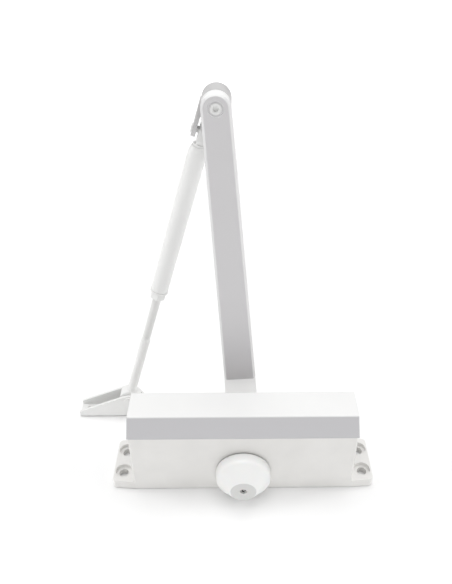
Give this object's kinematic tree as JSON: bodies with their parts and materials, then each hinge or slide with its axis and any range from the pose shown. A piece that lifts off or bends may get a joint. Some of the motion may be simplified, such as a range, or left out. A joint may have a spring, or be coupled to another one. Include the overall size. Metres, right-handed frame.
{
  "type": "door closer",
  "caption": "Surface-mounted rack-and-pinion door closer with round pinion cap, cranked main arm, adjustable forearm and foot bracket.",
  "frame": {"origin": "centre of the four fixing holes in the plane of the housing's mounting face", "axes": "+Z out of the mounting face, towards the housing's far side; +X along the housing towards the speed valves; the pinion axis lies along Y, with the round cap towards -Y and the arm towards +Y"},
  "size_m": [0.2267, 0.1052, 0.2665],
  "materials": {
    "powder_coat_cast": "glossy white powder coat on cast aluminium",
    "powder_coat_steel": "satin white powder coat on steel",
    "white_cap_plastic": "moulded white plastic, satin",
    "hardened_steel": "ground and hardened, oiled",
    "zinc_plate": "bright zinc plate",
    "painted_fastener": "white paint over zinc plate",
    "spring_steel": "oil-tempered wire",
    "bearing_bronze": "sintered bronze",
    "seal_rubber": "nitrile, matt black",
    "clip_plastic": "moulded nylon"
  },
  "bodies": {
    "body": {"housing": "powder_coat_cast", "front_cover": "powder_coat_steel", "cover_clips": "clip_plastic", "cover_clip_screws": "zinc_plate", "spring_plug": "zinc_plate", "oil_plug": "zinc_plate", "plug_seals": "seal_rubber", "spring": "spring_steel", "pinion_bushes": "bearing_bronze", "shaft_seals": "seal_rubber", "bearing_retainers": "hardened_steel", "valve_seals": "seal_rubber"},
    "arm": {"pinion_shaft": "hardened_steel", "pinion_cap": "white_cap_plastic", "cap_screw": "painted_fastener", "main_arm": "powder_coat_steel", "arm_washer": "zinc_plate", "arm_screw": "zinc_plate", "elbow_rivet": "painted_fastener", "elbow_washer": "zinc_plate"},
    "piston": {"piston": "hardened_steel", "piston_seal": "seal_rubber", "check_valve_ball": "hardened_steel", "check_valve_seat": "hardened_steel"},
    "knuckle": {"elbow_knuckle": "powder_coat_steel", "tilt_pin": "painted_fastener"},
    "tube": {"forearm_tube": "powder_coat_steel", "tube_tongue": "powder_coat_steel", "tube_insert": "powder_coat_steel"},
    "nut": {"lock_nut": "powder_coat_steel"},
    "rod": {"forearm_rod": "powder_coat_steel"},
    "foot": {"foot_bracket": "powder_coat_steel", "foot_pin": "powder_coat_steel"},
    "closing_valve": {"closing_speed_valve": "bearing_bronze"},
    "latch_valve": {"latch_speed_valve": "bearing_bronze"}
  },
  "joints": [
    {"name": "arm_swing", "type": "hinge", "parent": "body", "child": "arm", "pos_m": [0, 0, 0.0195], "axis": [0, -1, 0], "range_deg": [0, 170], "stiffness_Nm_per_rad": 3, "springref_deg": -85.94},
    {"name": "piston_slide", "type": "slide", "parent": "body", "child": "piston", "axis": [-1, 0, 0], "range_m": [0, 0.0223], "deforming": ["spring"]},
    {"name": "elbow_fold", "type": "hinge", "parent": "arm", "child": "knuckle", "pos_m": [-0.0151, 0.058, 0.25752], "axis": [0, 1, 0], "range_deg": [-15, 150]},
    {"name": "forearm_tilt", "type": "hinge", "parent": "knuckle", "child": "tube", "pos_m": [-0.0234, 0.058, 0.23914], "axis": [0.9568, 0, -0.2907], "range_deg": [0, 8]},
    {"name": "lock_nut_travel", "type": "slide", "parent": "tube", "child": "nut", "axis": [-0.2907, 0, -0.9568], "range_m": [0, 0.008]},
    {"name": "rod_adjust", "type": "slide", "parent": "tube", "child": "rod", "axis": [-0.2907, 0, -0.9568], "range_m": [-0.015, 0.015]},
    {"name": "foot_swing", "type": "hinge", "parent": "rod", "child": "foot", "pos_m": [-0.09099, 0.058, 0.01668], "axis": [0, 1, 0], "range_deg": [-90, 90]},
    {"name": "closing_valve_turn", "type": "hinge", "parent": "body", "child": "closing_valve", "pos_m": [0.0785, -0.008, 0.048], "axis": [1, 0, 0], "range_deg": [-360, 360]},
    {"name": "latch_valve_turn", "type": "hinge", "parent": "body", "child": "latch_valve", "pos_m": [0.0785, 0.008, 0.048], "axis": [1, 0, 0], "range_deg": [-360, 360]}
  ],
  "couplings": [
    {"joint": "piston_slide", "follows": "arm_swing", "m_per_rad": 0.0075}
  ]
}
